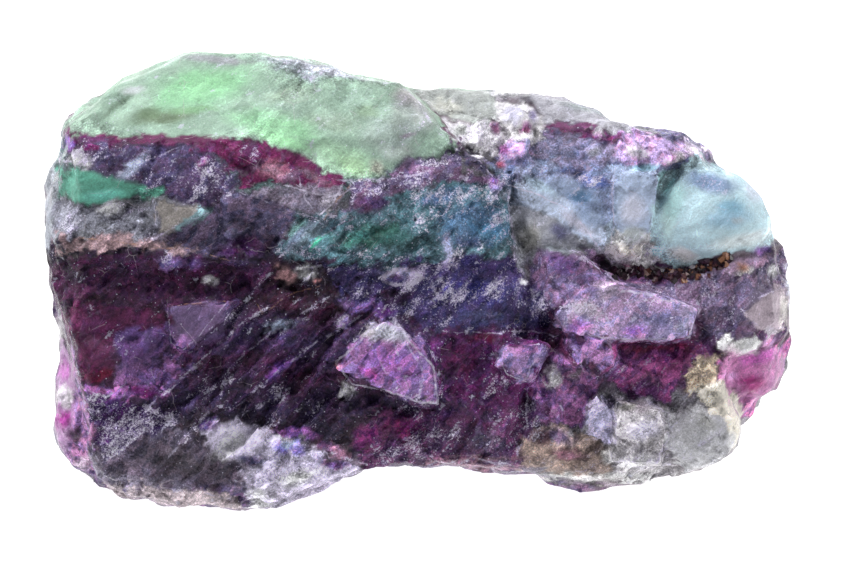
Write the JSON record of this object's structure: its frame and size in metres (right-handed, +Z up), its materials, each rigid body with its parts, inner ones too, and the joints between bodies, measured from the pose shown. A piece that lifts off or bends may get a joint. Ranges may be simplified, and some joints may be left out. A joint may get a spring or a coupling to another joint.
{
  "type": "rough rainbow fluorite chunk",
  "caption": "Rough cleaved chunk of banded green and violet fluorite with stepped ledges, broken crystal plates and a flat base to rest on.",
  "frame": {"origin": "on the surface that the flat base rests on, under the middle of the bounding box", "axes": "+Z up out of the base, +X along the length towards the end with the blue-green nodule, +Y towards the high green rear"},
  "size_m": [0.078, 0.0478, 0.0306],
  "materials": {
    "banded_fluorite": "vitreous cleavage faces with dull frosted breaks, banded mint green, teal, magenta, violet and near black"
  },
  "bodies": {
    "root": {"fluorite_stone": "banded_fluorite"}
  },
  "joints": []
}
